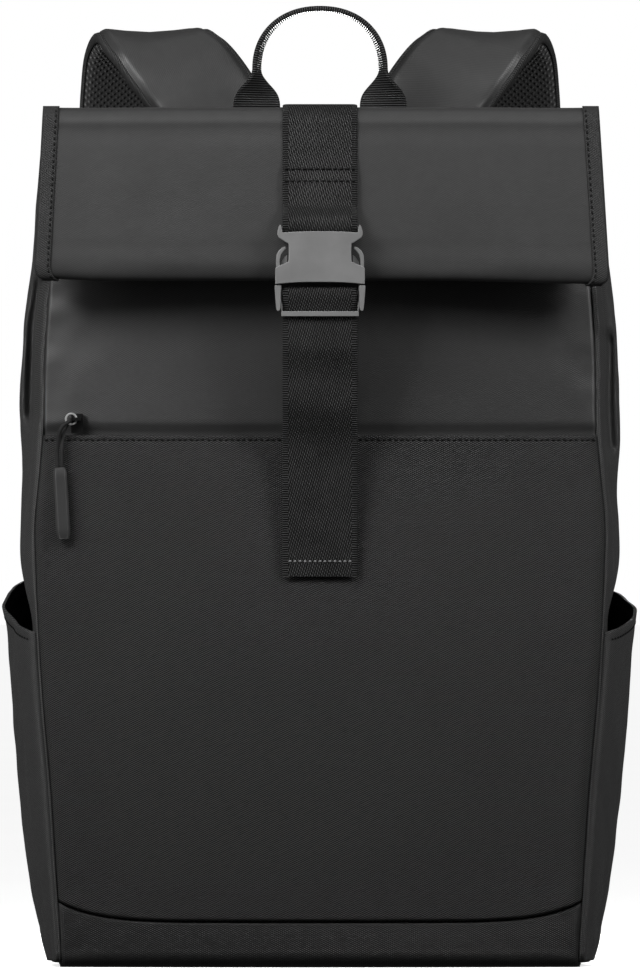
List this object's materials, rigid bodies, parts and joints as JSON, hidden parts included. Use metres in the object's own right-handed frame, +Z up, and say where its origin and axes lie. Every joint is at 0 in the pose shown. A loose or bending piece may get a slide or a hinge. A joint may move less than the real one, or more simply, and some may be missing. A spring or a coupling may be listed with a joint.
{
  "type": "rolltop backpack",
  "caption": "Rolltop backpack with a strap and side-release buckle over the roll, a zipped front pocket, open side pockets, a grab handle and padded shoulder straps.",
  "frame": {"origin": "middle of the base, on the floor", "axes": "+Z up through the bag, -Y out of the front with the buckle, +Y towards the wearer's back, +X to the right of someone facing the front"},
  "size_m": [0.3191, 0.2163, 0.483],
  "materials": {
    "coated_cloth": "fine woven charcoal cloth with a matt coating",
    "binding": "dull folded binding",
    "webbing": "twill woven webbing",
    "air_mesh": "open spacer mesh",
    "buckle_plastic": "smooth grey moulded",
    "slider_metal": "black lacquered",
    "ring_steel": "bright wire",
    "sleeve_rubber": "matt moulded"
  },
  "bodies": {
    "root": {"front_panel": "coated_cloth", "front_pocket_panel": "coated_cloth", "base_panel": "coated_cloth", "side_gusset_left": "coated_cloth", "side_gusset_right": "coated_cloth", "side_pocket_left": "coated_cloth", "side_pocket_right": "coated_cloth", "back_panel": "air_mesh", "roll_top": "coated_cloth", "roll_binding_left": "binding", "roll_binding_right": "binding", "strap_upper": "webbing", "strap_lower": "webbing", "buckle_housing": "buckle_plastic", "buckle_prong_frame": "buckle_plastic", "zip_tape": "webbing", "zip_slider": "slider_metal", "pull_ring": "ring_steel", "pull_cord": "webbing", "pull_sleeve": "sleeve_rubber", "grab_handle": "webbing", "shoulder_strap_left": "coated_cloth", "shoulder_strap_right": "coated_cloth", "lower_strap_left": "webbing", "lower_strap_right": "webbing", "strap_adjuster_left": "buckle_plastic", "strap_adjuster_right": "buckle_plastic"}
  },
  "joints": []
}
